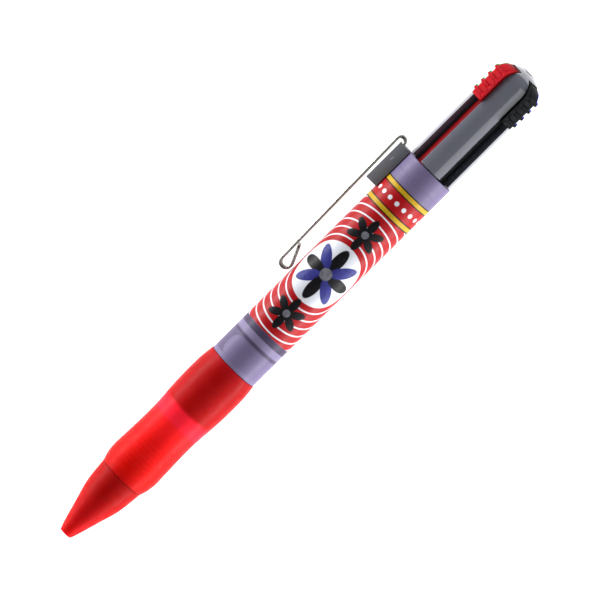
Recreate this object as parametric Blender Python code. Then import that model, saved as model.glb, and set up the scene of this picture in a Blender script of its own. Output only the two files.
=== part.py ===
"""Four-colour click pen, lying on its side with the pocket clip level.

The pen's axis runs along X, with the writing end at -X. The pocket clip points to +Y and the
pen lies on Z = 0, on the bulge of its grip and on its two lower thumbs. Lengths are in metres.
Stations are distances along the axis from the face of the nose.
"""
import math

import bmesh
import bpy
from mathutils import Matrix, Vector

MM = 0.001

# Overall size
LENGTH = 146.0 * MM
GRIP_MAX_RADIUS = 6.8 * MM
CLIP_TOP_RADIUS = 10.675 * MM
SEGMENTS = 36

# The four colours stand at these angles around the axis, from +Y towards +Z
COLOUR_ANGLES = {"red": 45.0, "black": 135.0, "blue": 225.0, "green": 315.0}

# Seams along the pen
NOSE_END = 18.05 * MM
GRIP_START = 18.35 * MM
GRIP_END = 53.1 * MM
BARREL_START = 53.4 * MM
BARREL_END = 115.0 * MM
UPPER_START = 115.3 * MM

# Nose cone
NOSE_FACE_RADIUS = 1.55 * MM
NOSE_HOLE_RADIUS = 1.15 * MM
NOSE_END_RADIUS = 5.7 * MM
NOSE_SPIGOT_RADIUS = 4.5 * MM
NOSE_SPIGOT_END = 26.8 * MM
NOSE_CAVITY_RADIUS = 3.3 * MM
THREAD_HEIGHT = 0.22 * MM
THREAD_PITCH = 1.6 * MM
THREAD_TURNS = 4

# Grip, with a step in its bore that stops the guide ring
GRIP_FRONT_BORE = 5.0 * MM
GRIP_REAR_BORE = 5.6 * MM
GRIP_STEP = 35.0 * MM

# Ring that guides the refills inside the grip
GUIDE_RING = (35.3 * MM, 38.7 * MM)
GUIDE_RING_RADIUS = 5.3 * MM
GUIDE_SLOT_HALF = 1.35 * MM
GUIDE_SLOT_REACH = 3.4 * MM

# Main barrel and the printed sleeve around it
BARREL_SPIGOT_START = 39.0 * MM
BARREL_SPIGOT_RADIUS = 5.3 * MM
BARREL_SPIGOT_BORE = 4.5 * MM
BARREL_BORE = 5.2 * MM
BARREL_RECESS_RADIUS = 5.85 * MM
BARREL_RADIUS = 6.28 * MM
WRAP = (53.7 * MM, 110.9 * MM)
WRAP_THICKNESS = 0.16 * MM
WRAP_FRONT_RADIUS = 6.22 * MM

# Upper barrel, its slots, its domed end and the ribs inside that guide the sliders
UPPER_SPIGOT_START = 106.3 * MM
UPPER_SPIGOT_RADIUS = 5.0 * MM
UPPER_BORE = 4.45 * MM
UPPER_FRONT_RADIUS = 6.1 * MM
UPPER_REAR_RADIUS = 6.0 * MM
DOME_START = 141.0 * MM
DOME_INNER_END = 144.6 * MM
SLOT = (113.0 * MM, 144.9 * MM)
SLOT_HALF = 1.78 * MM
SLOT_INNER = 2.05 * MM
END_HOLE_RADIUS = 1.95 * MM
GUIDE_RIB = (110.0 * MM, 143.0 * MM)
GUIDE_RIB_RADII = (3.0 * MM, 4.7 * MM)
GUIDE_RIB_HALF = 0.25 * MM
GUIDE_RIB_ANGLES = [0.0, 90.0, 180.0, 270.0]

# End plug and the guide core that it holds
END_PLUG_START = 143.4 * MM
END_PLUG_RADIUS = 1.7 * MM
END_RECESS_RADIUS = 0.7 * MM
CORE_PIN = (79.0 * MM, 108.6 * MM)
CORE_PIN_RADIUS = 0.65 * MM
CORE_RADIUS = 1.9 * MM
CORE_END = 143.0 * MM
CORE_NECK_RADIUS = 0.85 * MM
CORE_NECK_END = 144.3 * MM
LEDGE = (117.0 * MM, 118.6 * MM)
LEDGE_RADIUS = 2.1 * MM

# Spring seat
SEAT = (78.0 * MM, 82.0 * MM)
SEAT_RADIUS = 4.95 * MM
SEAT_HOLE_CENTRE = 2.5 * MM
SEAT_HOLE_RADIUS = 1.35 * MM
SEAT_PIN_HOLE = 0.9 * MM

# Sliders
STEM = (107.5 * MM, 136.0 * MM)
STEM_RADII = (2.3 * MM, 4.3 * MM)
STEM_HALF = 1.2 * MM
THUMB = (134.1 * MM, 144.7 * MM)
THUMB_HALF = 1.55 * MM
THUMB_RADIUS = 6.9 * MM
RIDGE_RADIUS = 7.7 * MM
RIDGE_START = 134.9 * MM
RIDGE_PITCH = 2.15 * MM
RIDGE_WIDTH = 1.2 * MM
RIDGES = 4
FLANGE = (106.0 * MM, 108.0 * MM)
FLANGE_RADIUS = 1.5 * MM
PEG_START = 102.5 * MM
PEG_RADIUS = 0.5 * MM

# Refills: each leans towards the axis, from its pivot on the slider to its tip
PIVOT = 104.0 * MM
PIVOT_RADIUS = 2.75 * MM
REFILL_LENGTH = 92.5 * MM
TIP_RADIUS_AT_REST = 1.7 * MM
TUBE_REAR = 1.7 * MM
TUBE_RADIUS = 1.05 * MM
TUBE_BORE = 0.78 * MM
HOLDER_RADIUS = 0.75 * MM
HOLDER_BORE = 0.6 * MM
HOLDER_FRONT = 8.3 * MM
HOLDER_REAR = 12.0 * MM
NEEDLE_FRONT_RADIUS = 0.32 * MM
NEEDLE_RADIUS = 0.42 * MM
NEEDLE_BACK = 10.5 * MM
BALL_RADIUS = 0.22 * MM
BALL_GAP = 0.05 * MM

# Springs
SPRING = (82.3 * MM, 105.7 * MM)
SPRING_CENTRE = 2.63 * MM
SPRING_MEAN_RADIUS = 1.5 * MM
SPRING_WIRE_RADIUS = 0.15 * MM
SPRING_TURNS = 9
SPRING_POINTS_PER_TURN = 8

# Clip block
BLOCK = (104.2 * MM, 115.0 * MM)
BLOCK_HALF = 2.47 * MM
BLOCK_TOP = 9.2 * MM
BLOCK_SEAT_RADIUS = 6.5 * MM
BLOCK_CHAMFER = 0.2 * MM
FOOT = (111.6 * MM, 114.4 * MM)
FOOT_HALF = 1.2 * MM
FOOT_BOTTOM = 5.45 * MM
FOOT_GAP = 0.27 * MM

# Wire clip
WIRE_RADIUS = 0.375 * MM
LEG_SPACING = 1.5 * MM
CLIP_PIVOT = (114.9 * MM, 8.3 * MM)
CLIP_STUB_END = 113.6 * MM
CLIP_HOLE_RADIUS = 0.62 * MM
CLIP_HOLE_DEPTH = 2.2 * MM
REAR_BEND = (115.1 * MM, 9.3 * MM)
REAR_BEND_RADIUS = 1.0 * MM
FRONT_BEND = (78.1 * MM, 8.2 * MM)
FRONT_BEND_RADIUS = 1.32 * MM
RETURN_SLOPE = 23.6
CROSS_BEND_START = 81.6 * MM

# Where the axis lies: the object's box is centred on the origin in X and Y and stands on Z = 0
AXIS_Y = (GRIP_MAX_RADIUS - CLIP_TOP_RADIUS) / 2
AXIS_Z = GRIP_MAX_RADIUS


def clear_scene():
    for item in list(bpy.data.objects):
        bpy.data.objects.remove(item, do_unlink=True)


def material(name, colour, roughness, metallic=0.0):
    made = bpy.data.materials.new(name)
    made.use_nodes = True
    shader = made.node_tree.nodes["Principled BSDF"]
    shader.inputs["Base Color"].default_value = (*colour, 1.0)
    shader.inputs["Roughness"].default_value = roughness
    shader.inputs["Metallic"].default_value = metallic
    return made


def empty(name, parent=None, location=(0, 0, 0), rotation=(0, 0, 0)):
    made = bpy.data.objects.new(name, None)
    bpy.context.scene.collection.objects.link(made)
    made.parent = parent
    made.location = location
    made.rotation_euler = rotation
    return made


def place(name, data, surface, parent, location=(0, 0, 0)):
    """Puts mesh or curve data into the scene as one named piece."""
    made = bpy.data.objects.new(name, data)
    bpy.context.scene.collection.objects.link(made)
    if not data.materials:
        data.materials.append(surface)
    made.parent = parent
    made.location = location
    return made


def finished_mesh(name, bm, sharp_angle=35.0):
    bmesh.ops.recalc_face_normals(bm, faces=bm.faces)
    mesh = bpy.data.meshes.new(name)
    bm.to_mesh(mesh)
    bm.free()
    mesh.shade_smooth()
    mesh.set_sharp_from_angle(angle=math.radians(sharp_angle))
    return mesh


def turned(name, outline, segments=SEGMENTS, centre=0.0):
    """A solid of revolution from an outline of (station, radius) points.

    A closed outline stays clear of the axis; an outline that starts and ends on the axis is
    left open there. The axis of revolution is parallel to X, at the given height in Y.
    """
    bm = bmesh.new()
    verts = [bm.verts.new((x, 0.0, -r)) for x, r in outline]
    edges = [bm.edges.new(pair) for pair in zip(verts, verts[1:])]
    if outline[0][1] > 0.0:
        edges.append(bm.edges.new((verts[-1], verts[0])))
    bmesh.ops.spin(
        bm, geom=verts + edges, cent=(0, 0, 0), axis=(1, 0, 0), dvec=(0, 0, 0),
        angle=math.tau, steps=segments, use_merge=True, use_duplicate=False)
    bmesh.ops.remove_doubles(bm, verts=bm.verts, dist=1e-7)
    bmesh.ops.translate(bm, verts=bm.verts, vec=(0, centre, 0))
    return finished_mesh(name, bm)


def extruded(name, outline, half_width):
    """A plate with an outline of (station, radius) points, centred across the Z axis."""
    bm = bmesh.new()
    verts = [bm.verts.new((x, y, -half_width)) for x, y in outline]
    face = bm.faces.new(verts)
    grown = bmesh.ops.extrude_face_region(bm, geom=[face])
    top = [item for item in grown["geom"] if isinstance(item, bmesh.types.BMVert)]
    bmesh.ops.translate(bm, verts=top, vec=(0, 0, 2 * half_width))
    return finished_mesh(name, bm)


def box(name, x_range, y_range, half_width):
    (x0, x1), (y0, y1) = x_range, y_range
    return extruded(name, [(x0, y0), (x1, y0), (x1, y1), (x0, y1)], half_width)


def rod(name, x_range, radius, centre, segments):
    x0, x1 = x_range
    outline = [(x0, 0.0), (x0, radius), (x1, radius), (x1, 0.0)]
    return turned(name, outline, segments, centre)


def combined(name, base, tools, operation):
    """The base mesh with each tool mesh joined to it or cut from it, by exact Booleans."""
    collection = bpy.context.scene.collection
    body = bpy.data.objects.new(name, base)
    others = [bpy.data.objects.new(f"{name}_tool", tool) for tool in tools]
    for item in [body, *others]:
        collection.objects.link(item)
    for other in others:
        step = body.modifiers.new("step", "BOOLEAN")
        step.operation = operation
        step.solver = "EXACT"
        step.object = other
    depsgraph = bpy.context.evaluated_depsgraph_get()
    mesh = bpy.data.meshes.new_from_object(body.evaluated_get(depsgraph))
    mesh.name = name
    mesh.materials.clear()
    for item in [body, *others]:
        bpy.data.objects.remove(item, do_unlink=True)
    return mesh


def spun_copies(mesh, angles):
    """Copies of a mesh, turned about the pen's axis by each angle in degrees."""
    copies = []
    for angle in angles:
        copy = mesh.copy()
        copy.transform(Matrix.Rotation(math.radians(angle), 4, "X"))
        copies.append(copy)
    return copies


def wire(name, points, radius, roundness):
    curve = bpy.data.curves.new(name, "CURVE")
    curve.dimensions = "3D"
    curve.bevel_depth = radius
    curve.bevel_resolution = roundness
    curve.use_fill_caps = True
    spline = curve.splines.new("POLY")
    spline.points.add(len(points) - 1)
    for point, place_of_point in zip(spline.points, points):
        point.co = (*place_of_point, 1.0)
    return curve


def arc(centre, radius, start, end, steps):
    """Points on an arc of a circle, between two angles in degrees."""
    angles = [math.radians(start + (end - start) * i / steps) for i in range(steps + 1)]
    return [(centre[0] + radius * math.cos(a), centre[1] + radius * math.sin(a)) for a in angles]


def smooth_outline(knots, steps):
    """A Catmull-Rom curve through (station, radius) knots, with steps points for each span."""
    ends = [knots[0], *knots, knots[-1]]
    points = []
    for p0, p1, p2, p3 in zip(ends, ends[1:], ends[2:], ends[3:]):
        for i in range(steps):
            t = i / steps
            points.append(tuple(
                0.5 * (2 * b + (c - a) * t + (2 * a - 5 * b + 4 * c - d) * t * t
                       + (3 * b - a - 3 * c + d) * t ** 3)
                for a, b, c, d in zip(p0, p1, p2, p3)))
    return [*points, knots[-1]]


def make_nose_cone():
    knots = [(0.0, NOSE_FACE_RADIUS), (1.4 * MM, 2.03 * MM), (4.1 * MM, 2.82 * MM),
             (8.1 * MM, 3.95 * MM), (10.7 * MM, 4.72 * MM), (13.4 * MM, 5.24 * MM),
             (NOSE_END, NOSE_END_RADIUS)]
    outline = smooth_outline(knots, 2)
    outline.append((NOSE_END, NOSE_SPIGOT_RADIUS))
    for turn in range(THREAD_TURNS):
        start = GRIP_START + (turn + 0.9) * THREAD_PITCH
        outline += [(start, NOSE_SPIGOT_RADIUS),
                    (start + THREAD_PITCH / 4, NOSE_SPIGOT_RADIUS + THREAD_HEIGHT),
                    (start + THREAD_PITCH / 2, NOSE_SPIGOT_RADIUS)]
    outline += [(NOSE_SPIGOT_END, NOSE_SPIGOT_RADIUS), (NOSE_SPIGOT_END, NOSE_CAVITY_RADIUS),
                (15.0 * MM, NOSE_CAVITY_RADIUS), (11.0 * MM, 2.75 * MM), (6.0 * MM, 1.95 * MM),
                (3.0 * MM, 1.5 * MM), (0.8 * MM, NOSE_HOLE_RADIUS), (0.0, NOSE_HOLE_RADIUS)]
    return turned("nose_cone", outline)


def make_grip_sleeve():
    knots = [(GRIP_START, 5.78 * MM), (20.0 * MM, 6.3 * MM), (22.3 * MM, 6.53 * MM),
             (26.2 * MM, 6.38 * MM), (32.2 * MM, 6.22 * MM), (36.0 * MM, 6.3 * MM),
             (41.0 * MM, 6.66 * MM), (45.4 * MM, GRIP_MAX_RADIUS), (49.8 * MM, 6.73 * MM),
             (GRIP_END, 6.36 * MM)]
    outline = smooth_outline(knots, 2)
    outline += [(GRIP_END, GRIP_REAR_BORE), (GRIP_STEP, GRIP_REAR_BORE),
                (GRIP_STEP, GRIP_FRONT_BORE), (GRIP_START, GRIP_FRONT_BORE)]
    return turned("grip_sleeve", outline)


def make_guide_ring():
    x0, x1 = GUIDE_RING
    ring = turned("ring", [(x0, 0.0), (x0, GUIDE_RING_RADIUS), (x1, GUIDE_RING_RADIUS), (x1, 0.0)])
    through = (x0 - MM, x1 + MM)
    slot = box("slot", through, (-GUIDE_SLOT_REACH, GUIDE_SLOT_REACH), GUIDE_SLOT_HALF)
    crossed = spun_copies(slot, [45.0, 135.0])
    return combined("guide_ring", ring, crossed, "DIFFERENCE")


def make_main_barrel():
    wrap_front, wrap_rear = WRAP
    gap = 0.3 * MM
    outline = [
        (BARREL_SPIGOT_START, BARREL_SPIGOT_BORE), (BARREL_SPIGOT_START, BARREL_SPIGOT_RADIUS),
        (BARREL_START, BARREL_SPIGOT_RADIUS), (BARREL_START, BARREL_RECESS_RADIUS),
        (wrap_rear + gap, BARREL_RECESS_RADIUS), (wrap_rear + gap, BARREL_RADIUS),
        (BARREL_END, BARREL_RADIUS), (BARREL_END, BARREL_BORE),
        (57.0 * MM, BARREL_BORE), (56.0 * MM, BARREL_SPIGOT_BORE)]
    tube = turned("tube", outline)
    cutter = box("foot_slot", (FOOT[0] - FOOT_GAP, FOOT[1] + FOOT_GAP),
                 (FOOT_BOTTOM - MM, BARREL_RADIUS + MM), FOOT_HALF + FOOT_GAP)
    return combined("main_barrel", tube, [cutter], "DIFFERENCE")


def make_printed_wrap():
    front, rear = WRAP
    outline = [(front, WRAP_FRONT_RADIUS - WRAP_THICKNESS), (front, WRAP_FRONT_RADIUS),
               (rear, BARREL_RADIUS), (rear, BARREL_RADIUS - WRAP_THICKNESS)]
    return turned("printed_wrap", outline)


def make_upper_barrel():
    length = LENGTH - DOME_START
    outline = [(UPPER_SPIGOT_START, UPPER_BORE), (UPPER_SPIGOT_START, UPPER_SPIGOT_RADIUS),
               (UPPER_START, UPPER_SPIGOT_RADIUS), (UPPER_START, UPPER_FRONT_RADIUS)]
    hole_angle = math.degrees(math.asin(END_HOLE_RADIUS / UPPER_REAR_RADIUS))
    for x, y in arc((0.0, 0.0), 1.0, 90.0, hole_angle, 7):
        outline.append((DOME_START + x * length, y * UPPER_REAR_RADIUS))
    outline.append((DOME_INNER_END, END_HOLE_RADIUS))
    inner_length = DOME_INNER_END - DOME_START
    for x, y in arc((0.0, 0.0), 1.0, 35.0, 90.0, 3):
        outline.append((DOME_START + x * inner_length, y * UPPER_BORE))
    shell = turned("shell", outline)
    cutter = box("slot", SLOT, (SLOT_INNER, 2 * UPPER_FRONT_RADIUS), SLOT_HALF)
    slots = spun_copies(cutter, COLOUR_ANGLES.values())
    slotted = combined("slotted", shell, slots, "DIFFERENCE")
    rib = box("rib", GUIDE_RIB, GUIDE_RIB_RADII, GUIDE_RIB_HALF)
    return combined("upper_barrel", slotted, spun_copies(rib, GUIDE_RIB_ANGLES), "UNION")


def make_end_plug():
    bore, web = 1.1 * MM, 144.6 * MM
    outline = [(web, 0.0), (web, bore), (END_PLUG_START, bore), (END_PLUG_START, END_PLUG_RADIUS),
               (LENGTH - 0.3 * MM, END_PLUG_RADIUS), (LENGTH, END_PLUG_RADIUS - 0.25 * MM),
               (LENGTH, END_RECESS_RADIUS), (web + 0.3 * MM, END_RECESS_RADIUS),
               (web + 0.3 * MM, 0.0)]
    return turned("end_plug", outline, 24)


def make_guide_core():
    start, step = CORE_PIN
    outline = [(start, 0.0), (start, CORE_PIN_RADIUS), (step, CORE_PIN_RADIUS),
               (step, CORE_RADIUS), (LEDGE[0], CORE_RADIUS), (LEDGE[0], LEDGE_RADIUS),
               (LEDGE[1], CORE_RADIUS), (CORE_END, CORE_RADIUS), (CORE_END, CORE_NECK_RADIUS),
               (CORE_NECK_END, CORE_NECK_RADIUS), (CORE_NECK_END, 0.0)]
    return turned("guide_core", outline, 20)


def make_spring_seat():
    x0, x1 = SEAT
    outline = [(x0, SEAT_PIN_HOLE), (x0, SEAT_RADIUS), (x1, SEAT_RADIUS), (x1, SEAT_PIN_HOLE)]
    disc = turned("disc", outline, 32)
    hole = rod("hole", (x0 - MM, x1 + MM), SEAT_HOLE_RADIUS, SEAT_HOLE_CENTRE, 16)
    holes = spun_copies(hole, COLOUR_ANGLES.values())
    return combined("spring_seat", disc, holes, "DIFFERENCE")


def thumb_outline():
    """The side of a thumb: a ridged top, and a tail that follows the dome."""
    front, rear = THUMB
    inner = STEM_RADII[0]
    edge = 0.2 * MM
    outline = [(front, inner), (front, THUMB_RADIUS - edge), (front + edge, THUMB_RADIUS)]
    for ridge in range(RIDGES):
        start = RIDGE_START + ridge * RIDGE_PITCH
        outline += [(start, THUMB_RADIUS), (start + edge, RIDGE_RADIUS),
                    (start + RIDGE_WIDTH - edge, RIDGE_RADIUS), (start + RIDGE_WIDTH, THUMB_RADIUS)]
    tail = [(143.1 * MM, 6.45 * MM), (143.9 * MM, 5.6 * MM), (144.4 * MM, 4.7 * MM)]
    return [*outline, *tail, (rear, 3.7 * MM), (rear, inner)]


def make_slider():
    thumb = extruded("thumb", thumb_outline(), THUMB_HALF)
    stem = box("stem", STEM, STEM_RADII, STEM_HALF)
    flange = rod("flange", FLANGE, FLANGE_RADIUS, PIVOT_RADIUS, 20)
    peg = rod("peg", (PEG_START, FLANGE[0] + 0.5 * MM), PEG_RADIUS, PIVOT_RADIUS, 12)
    return combined("slider", thumb, [stem, flange, peg], "UNION")


def make_refill_tube():
    """An ink tube along -X from its pivot, with a narrow front that holds the needle."""
    front, rear = -REFILL_LENGTH + HOLDER_FRONT, -REFILL_LENGTH + HOLDER_REAR
    outline = [(front, HOLDER_BORE), (front, HOLDER_RADIUS), (rear, TUBE_RADIUS),
               (TUBE_REAR, TUBE_RADIUS), (TUBE_REAR, TUBE_BORE), (rear + MM, TUBE_BORE),
               (rear, HOLDER_BORE)]
    return turned("refill_tube", outline, 14)


def make_refill_tip():
    cup_depth = BALL_RADIUS + BALL_GAP
    front = -REFILL_LENGTH + cup_depth
    back = -REFILL_LENGTH + NEEDLE_BACK
    outline = [(front + cup_depth, 0.0), (front, BALL_RADIUS + 0.02 * MM),
               (front, NEEDLE_FRONT_RADIUS), (front + 0.8 * MM, NEEDLE_RADIUS - 0.04 * MM),
               (front + 3.0 * MM, NEEDLE_RADIUS), (back, NEEDLE_RADIUS), (back, 0.0)]
    return turned("refill_tip", outline, 14)


def make_writing_ball():
    centre = (-REFILL_LENGTH + BALL_RADIUS, 0.0)
    half_circle = arc(centre, BALL_RADIUS, 180.0, 0.0, 5)
    outline = [(half_circle[0][0], 0.0), *half_circle[1:-1], (half_circle[-1][0], 0.0)]
    return turned("writing_ball", outline, 8)


def make_spring():
    front, rear = SPRING
    inset = SPRING_WIRE_RADIUS
    count = SPRING_TURNS * SPRING_POINTS_PER_TURN
    points = []
    for i in range(count + 1):
        angle = math.tau * i / SPRING_POINTS_PER_TURN
        x = front + inset + (rear - front - 2 * inset) * i / count
        points.append((x, SPRING_CENTRE + SPRING_MEAN_RADIUS * math.cos(angle),
                       SPRING_MEAN_RADIUS * math.sin(angle)))
    return wire("spring", points, SPRING_WIRE_RADIUS, 0)


def make_clip_block():
    x0, x1 = BLOCK
    side = math.degrees(math.asin(BLOCK_HALF / BLOCK_SEAT_RADIUS))
    outline = arc((0.0, 0.0), BLOCK_SEAT_RADIUS, 90.0 + side, 90.0 - side, 6)
    outline += [(BLOCK_HALF, BLOCK_TOP - BLOCK_CHAMFER), (BLOCK_HALF - BLOCK_CHAMFER, BLOCK_TOP),
                (BLOCK_CHAMFER - BLOCK_HALF, BLOCK_TOP), (-BLOCK_HALF, BLOCK_TOP - BLOCK_CHAMFER)]
    bm = bmesh.new()
    face = bm.faces.new([bm.verts.new((x0, y, z)) for z, y in outline])
    grown = bmesh.ops.extrude_face_region(bm, geom=[face])
    moved = [item for item in grown["geom"] if isinstance(item, bmesh.types.BMVert)]
    bmesh.ops.translate(bm, verts=moved, vec=(x1 - x0, 0, 0))
    block = finished_mesh("block", bm)
    foot = box("foot", FOOT, (FOOT_BOTTOM, BLOCK_SEAT_RADIUS + 0.5 * MM), FOOT_HALF)
    footed = combined("footed", block, [foot], "UNION")
    holes = []
    for side_of_axis in (-1, 1):
        hole = rod("hole", (x1 - CLIP_HOLE_DEPTH, x1 + MM), CLIP_HOLE_RADIUS, CLIP_PIVOT[1], 14)
        hole.transform(Matrix.Translation((0, 0, side_of_axis * LEG_SPACING)))
        holes.append(hole)
    return combined("clip_block", footed, holes, "DIFFERENCE")


def clip_leg():
    """The side view of one leg, from its end in the block to the start of the cross bend."""
    leg = [(CLIP_STUB_END, CLIP_PIVOT[1])]
    leg += arc(REAR_BEND, REAR_BEND_RADIUS, -90.0, 90.0, 7)
    leg += arc(FRONT_BEND, FRONT_BEND_RADIUS, 88.7, 270.0 + RETURN_SLOPE, 9)
    foot = leg[-1]
    rise = (CROSS_BEND_START - foot[0]) * math.tan(math.radians(RETURN_SLOPE))
    leg.append((CROSS_BEND_START, foot[1] + rise))
    return leg


def make_wire_clip():
    """One wire: a leg, a half-circle across the pen in the plane of the return, and a leg."""
    leg = clip_leg()
    slope = math.radians(RETURN_SLOPE)
    along = Vector((math.cos(slope), math.sin(slope), 0.0))
    middle = Vector((*leg[-1], 0.0))
    turn = [middle + along * u + Vector((0, 0, v))
            for v, u in arc((0.0, 0.0), LEG_SPACING, 0.0, 180.0, 8)]
    points = [Vector((x, y, LEG_SPACING)) for x, y in leg[:-1]]
    points += turn
    points += [Vector((x, y, -LEG_SPACING)) for x, y in reversed(leg[:-1])]
    pivot = Vector((*CLIP_PIVOT, 0.0))
    return wire("wire_clip", [point - pivot for point in points], WIRE_RADIUS, 2)


def make_fixed_pieces(pen):
    red = (0.62, 0.01, 0.02)
    grey = (0.1, 0.105, 0.12)
    white = (0.85, 0.85, 0.83)
    pieces = [
        ("nose_cone", make_nose_cone(), material("nose_plastic", (0.5, 0.01, 0.02), 0.4)),
        ("grip_sleeve", make_grip_sleeve(), material("grip_plastic", red, 0.35)),
        ("guide_ring", make_guide_ring(), material("ring_plastic", white, 0.5)),
        ("main_barrel", make_main_barrel(), material("barrel_plastic", (0.36, 0.33, 0.5), 0.35)),
        ("printed_wrap", make_printed_wrap(), material("printed_film", (0.55, 0.05, 0.08), 0.3)),
        ("upper_barrel", make_upper_barrel(), material("upper_plastic", grey, 0.25)),
        ("end_plug", make_end_plug(), material("plug_plastic", grey, 0.3)),
        ("guide_core", make_guide_core(), material("core_plastic", (0.3, 0.3, 0.32), 0.5)),
        ("spring_seat", make_spring_seat(), material("seat_plastic", white, 0.5)),
        ("clip_block", make_clip_block(), material("block_plastic", grey, 0.35)),
    ]
    for name, mesh, surface in pieces:
        place(name, mesh, surface, pen)


def make_wire_clip_piece(pen):
    steel = material("clip_steel", (0.6, 0.6, 0.6), 0.25, 1.0)
    pivot = empty("clip_pivot", pen, (*CLIP_PIVOT, 0.0))
    place("wire_clip", make_wire_clip(), steel, pivot)


def make_colour_train(pen):
    """For each colour: a slider, its return spring, and a refill hung from the slider."""
    colours = {"red": (0.7, 0.01, 0.03), "black": (0.015, 0.017, 0.02),
               "blue": (0.03, 0.06, 0.4), "green": (0.02, 0.3, 0.1)}
    slider, spring = make_slider(), make_spring()
    tube, tip, ball = make_refill_tube(), make_refill_tip(), make_writing_ball()
    steel = material("spring_steel", (0.55, 0.55, 0.55), 0.3, 1.0)
    brass = material("tip_metal", (0.7, 0.62, 0.45), 0.3, 1.0)
    ball_metal = material("ball_metal", (0.4, 0.4, 0.42), 0.15, 1.0)
    lean = math.asin((PIVOT_RADIUS - TIP_RADIUS_AT_REST) / REFILL_LENGTH)
    for name, angle in COLOUR_ANGLES.items():
        frame = empty(f"{name}_frame", pen, rotation=(math.radians(angle), 0, 0))
        surface = material(f"slider_plastic_{name}", colours[name], 0.3)
        ink = material(f"ink_tube_{name}", colours[name], 0.4)
        place(f"slider_{name}", slider.copy(), surface, frame)
        place(f"spring_{name}", spring.copy(), steel, frame)
        pivot = empty(f"refill_pivot_{name}", frame, (PIVOT, PIVOT_RADIUS, 0), (0, 0, lean))
        place(f"refill_tube_{name}", tube.copy(), ink, pivot)
        place(f"refill_tip_{name}", tip.copy(), brass, pivot)
        place(f"writing_ball_{name}", ball.copy(), ball_metal, pivot)


def main():
    clear_scene()
    pen = empty("pen_axis", None, (-LENGTH / 2, AXIS_Y, AXIS_Z))
    make_fixed_pieces(pen)
    make_wire_clip_piece(pen)
    make_colour_train(pen)


main()
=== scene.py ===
"""Looks for the four-colour click pen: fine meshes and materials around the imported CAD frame."""
import math

import bmesh
import bpy
from mathutils import Matrix, Vector


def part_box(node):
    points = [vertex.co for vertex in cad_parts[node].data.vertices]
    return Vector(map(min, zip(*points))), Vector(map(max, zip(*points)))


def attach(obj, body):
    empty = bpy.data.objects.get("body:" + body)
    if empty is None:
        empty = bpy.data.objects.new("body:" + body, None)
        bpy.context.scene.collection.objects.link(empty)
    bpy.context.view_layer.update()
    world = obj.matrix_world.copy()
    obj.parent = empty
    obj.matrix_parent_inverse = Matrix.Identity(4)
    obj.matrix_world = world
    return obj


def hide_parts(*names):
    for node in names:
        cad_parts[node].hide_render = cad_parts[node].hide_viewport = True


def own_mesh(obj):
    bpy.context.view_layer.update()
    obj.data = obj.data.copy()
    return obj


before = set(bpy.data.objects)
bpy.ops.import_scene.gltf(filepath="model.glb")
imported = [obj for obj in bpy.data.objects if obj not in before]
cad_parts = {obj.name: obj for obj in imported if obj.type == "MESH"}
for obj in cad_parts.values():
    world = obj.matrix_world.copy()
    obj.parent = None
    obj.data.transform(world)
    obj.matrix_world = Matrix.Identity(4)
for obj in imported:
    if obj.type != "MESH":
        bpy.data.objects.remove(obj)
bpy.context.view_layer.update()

MM = 0.001
# Where each colour's slot is, in degrees round the axis from +Y towards +Z, and its plastic
COLOUR_ANGLES = {"red": 45.0, "black": 135.0, "blue": 225.0, "green": 315.0}
COLOURS = {"red": (0.4, 0.005, 0.011), "black": (0.006, 0.0065, 0.008),
           "blue": (0.015, 0.03, 0.32), "green": (0.01, 0.22, 0.06)}


def span(node):
    low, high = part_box(node)
    return low.x, high.x


GRIP_LOW, GRIP_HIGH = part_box("grip_sleeve")
NOSE_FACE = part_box("nose_cone")[0].x
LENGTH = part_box("end_plug")[1].x - NOSE_FACE
AXIS = Vector((NOSE_FACE, (GRIP_LOW.y + GRIP_HIGH.y) / 2, (GRIP_LOW.z + GRIP_HIGH.z) / 2))


def station(x):
    """A place along the axis, in millimetres from the face of the nose."""
    return (x - NOSE_FACE) / MM


# Stations along the axis and radii, in millimetres
NOSE_END = 18.05
GRIP_START, GRIP_END = (station(x) for x in span("grip_sleeve"))
GRIP_FRONT = GRIP_START - 0.27
BARREL_FRONT, BARREL_END = (station(x) for x in span("main_barrel"))
WRAP_END = station(span("printed_wrap")[1])
WRAP_FRONT_RADIUS, WRAP_RADIUS = 6.22, 6.28
HALF_TURN = math.pi * WRAP_RADIUS
SHOULDER = GRIP_END + 0.3

# The refills: their length, and how far their rear ends and their tips are from the axis
REFILL = 92.5
REFILL_OFFSET = 2.75
TIP_OFFSET = 1.7
LEAN = math.asin((REFILL_OFFSET - TIP_OFFSET) / REFILL)

# The red plastic: the length its tints are spread over, the painted shade of faint rings seen
# through the front of the grip, and the tint at each station, which is its own red with light and
# shade painted
# in: lighter where light comes through the plastic, darker where the parts inside shade it
RED_LENGTH = 60.0
RING_SHADE_PITCH = 1.1
RING_SHADE_SPAN = (20.5, 29.0)
NOSE_TINTS_LIGHT_AND_SHADE = [(0.0, (0.62, 0.005, 0.007)), (9.0, (0.47, 0.003, 0.004)),
              (13.0, (0.4, 0.002, 0.002)), (18.0, (0.37, 0.002, 0.002))]
GRIP_TINTS_LIGHT_AND_SHADE = [(18.0, (0.55, 0.004, 0.003)), (21.0, (0.66, 0.004, 0.002)),
              (28.5, (0.84, 0.007, 0.007)), (34.6, (0.97, 0.012, 0.014)),
              (35.6, (1.0, 0.016, 0.04)), (38.4, (0.98, 0.014, 0.034)),
              (39.6, (0.4, 0.003, 0.004)), (50.0, (0.36, 0.003, 0.004)),
              (53.0, (0.36, 0.004, 0.007))]

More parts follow.
